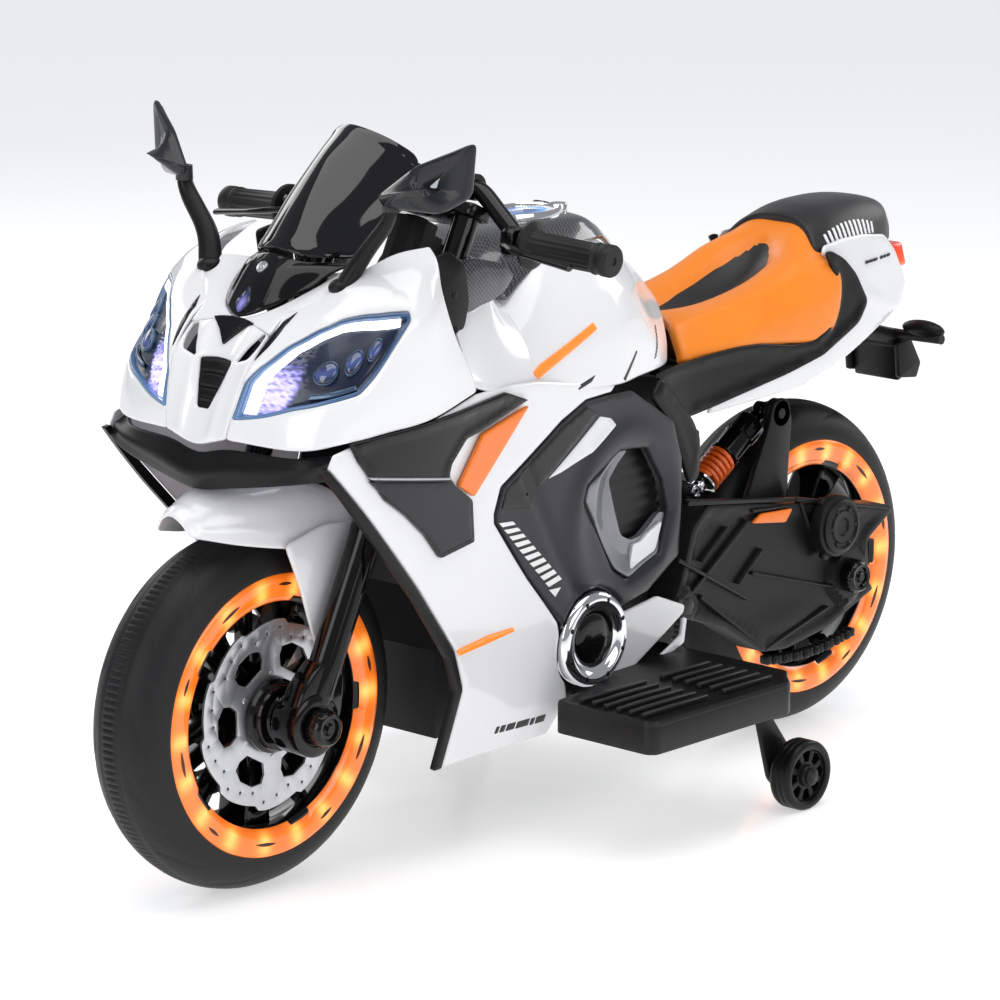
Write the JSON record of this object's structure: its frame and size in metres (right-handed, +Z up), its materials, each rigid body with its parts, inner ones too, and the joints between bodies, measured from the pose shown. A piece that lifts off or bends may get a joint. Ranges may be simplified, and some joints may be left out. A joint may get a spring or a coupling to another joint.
{
  "type": "ride-on electric motorcycle",
  "caption": "Children's battery ride-on sport motorcycle with full fairing, mirrors, footrests, single rear shock and a small stabiliser wheel on each side.",
  "frame": {"origin": "on the floor, midway between the two axles, in the machine's middle plane", "axes": "+X forward, +Y to the rider's left, +Z up"},
  "size_m": [1.148, 0.532, 0.728],
  "materials": {
    "white_bodywork": "gloss",
    "black_plastic": "satin",
    "gloss_black": "gloss",
    "charcoal_plastic": "semi-gloss",
    "tyre_rubber": "matte",
    "grip_rubber": "matte",
    "chrome": "polished",
    "steel": "brushed",
    "orange_leather": "satin",
    "orange_plastic": "gloss",
    "lamp_lens": "gloss",
    "ring_lens": "translucent",
    "lamp_white": "glowing",
    "lamp_blue": "glowing",
    "clear_lens": "clear",
    "silver_paint": "satin",
    "decal_black": "printed",
    "decal_white": "printed",
    "carbon_print": "gloss weave print",
    "mirror_glass": "mirror",
    "display_blue": "lit"
  },
  "bodies": {
    "chassis": {"main_frame": "black_plastic", "battery": "charcoal_plastic", "nose_center": "white_bodywork", "nose_fairing_left": "white_bodywork", "nose_fairing_right": "white_bodywork", "side_fairing_left": "white_bodywork", "side_fairing_right": "white_bodywork", "headlight_left": "lamp_lens", "headlight_right": "lamp_lens", "centre_light": "lamp_lens", "windscreen": "gloss_black", "screen_cowl": "gloss_black", "mirror_stalk_left": "black_plastic", "mirror_stalk_right": "black_plastic", "chin_scoop": "black_plastic", "intake_trim_left": "gloss_black", "intake_trim_right": "gloss_black", "engine_cover_left": "charcoal_plastic", "engine_cover_right": "charcoal_plastic", "chrome_ring_left": "chrome", "chrome_ring_right": "chrome", "footrest_left": "black_plastic", "footrest_right": "black_plastic", "training_bracket_left": "black_plastic", "training_bracket_right": "black_plastic", "tank_cover": "white_bodywork", "dash_panel": "black_plastic", "seat_cushion": "orange_leather", "seat_base": "black_plastic", "tail_pad": "black_plastic", "tail_fairing_left": "white_bodywork", "tail_fairing_right": "white_bodywork", "plate_bracket": "black_plastic", "tail_light": "orange_plastic"},
    "steering": {"fork_left": "gloss_black", "fork_right": "gloss_black", "lower_yoke": "black_plastic", "handlebar": "black_plastic", "front_axle": "black_plastic", "grip_left": "grip_rubber", "front_fender": "white_bodywork"},
    "throttle": {"throttle_grip": "grip_rubber"},
    "front_wheel": {"front_tyre": "tyre_rubber", "front_rim": "gloss_black", "front_disc_left": "steel", "front_disc_right": "steel"},
    "swingarm": {"swingarm": "black_plastic", "motor_housing": "black_plastic", "rear_axle": "black_plastic"},
    "rear_wheel": {"rear_tyre": "tyre_rubber", "rear_rim": "gloss_black"},
    "shock_lower": {"shock_rod": "steel", "shock_spring": "orange_plastic"},
    "shock_upper": {"shock_cylinder": "black_plastic"},
    "training_wheel_left": {"training_wheel_left": "black_plastic"},
    "training_wheel_right": {"training_wheel_right": "black_plastic"},
    "mirror_left": {"mirror_head_left": "black_plastic"},
    "mirror_right": {"mirror_head_right": "black_plastic"},
    "start_button": {"start_button": "chrome"},
    "direction_switch": {"direction_switch": "black_plastic"}
  },
  "joints": [
    {"name": "steering", "type": "hinge", "parent": "chassis", "child": "steering", "pos_m": [0.37843, 0, 0.16448], "axis": [-0.4384, 0, 0.8988], "range_deg": [-20, 20]},
    {"name": "front_wheel_spin", "type": "hinge", "parent": "steering", "child": "front_wheel", "pos_m": [0.4, 0, 0.175], "axis": [0, 1, 0], "continuous": true},
    {"name": "throttle_twist", "type": "hinge", "parent": "steering", "child": "throttle", "pos_m": [0.172, -0.15, 0.611], "axis": [-0.0845, -0.9948, -0.0563], "range_deg": [0, 45], "stiffness_Nm_per_rad": 0.25},
    {"name": "swingarm_pivot", "type": "hinge", "parent": "chassis", "child": "swingarm", "pos_m": [-0.136, 0, 0.19], "axis": [0, 1, 0], "range_deg": [0, 3], "stiffness_Nm_per_rad": 900, "springref_deg": -3.44, "deforming": ["shock_spring"]},
    {"name": "rear_wheel_spin", "type": "hinge", "parent": "swingarm", "child": "rear_wheel", "pos_m": [-0.4, 0, 0.175], "axis": [0, 1, 0], "continuous": true},
    {"name": "training_wheel_left_spin", "type": "hinge", "parent": "chassis", "child": "training_wheel_left", "pos_m": [-0.153, 0.235, 0.036], "axis": [0, 1, 0], "continuous": true},
    {"name": "training_wheel_right_spin", "type": "hinge", "parent": "chassis", "child": "training_wheel_right", "pos_m": [-0.153, -0.235, 0.036], "axis": [0, 1, 0], "continuous": true},
    {"name": "mirror_left_swivel", "type": "hinge", "parent": "chassis", "child": "mirror_left", "pos_m": [0.336, 0.138, 0.654], "axis": [0, 0, 1], "range_deg": [-20, 30]},
    {"name": "mirror_right_swivel", "type": "hinge", "parent": "chassis", "child": "mirror_right", "pos_m": [0.336, -0.138, 0.654], "axis": [0, 0, 1], "range_deg": [-30, 20]},
    {"name": "start_button_press", "type": "slide", "parent": "chassis", "child": "start_button", "axis": [0, 0, -1], "range_m": [0, 0.002], "stiffness_N_per_m": 300, "springref_m": -0.001},
    {"name": "direction_switch_rock", "type": "hinge", "parent": "chassis", "child": "direction_switch", "pos_m": [-0.046, -0.026, 0.601], "axis": [0, 1, 0], "range_deg": [-8, 8]},
    {"name": "shock_frame_eye", "type": "hinge", "parent": "chassis", "child": "shock_lower", "pos_m": [-0.213, 0.04, 0.288], "axis": [0, 1, 0], "range_deg": [0, 5.93]},
    {"name": "shock_arm_eye", "type": "hinge", "parent": "swingarm", "child": "shock_upper", "pos_m": [-0.321, 0.04, 0.358], "axis": [0, 1, 0], "range_deg": [0, 2.87]}
  ],
  "couplings": [
    {"joint": "shock_frame_eye", "follows": "swingarm_pivot", "ratio": 1.9375},
    {"joint": "shock_arm_eye", "follows": "swingarm_pivot", "ratio": 0.93746}
  ]
}
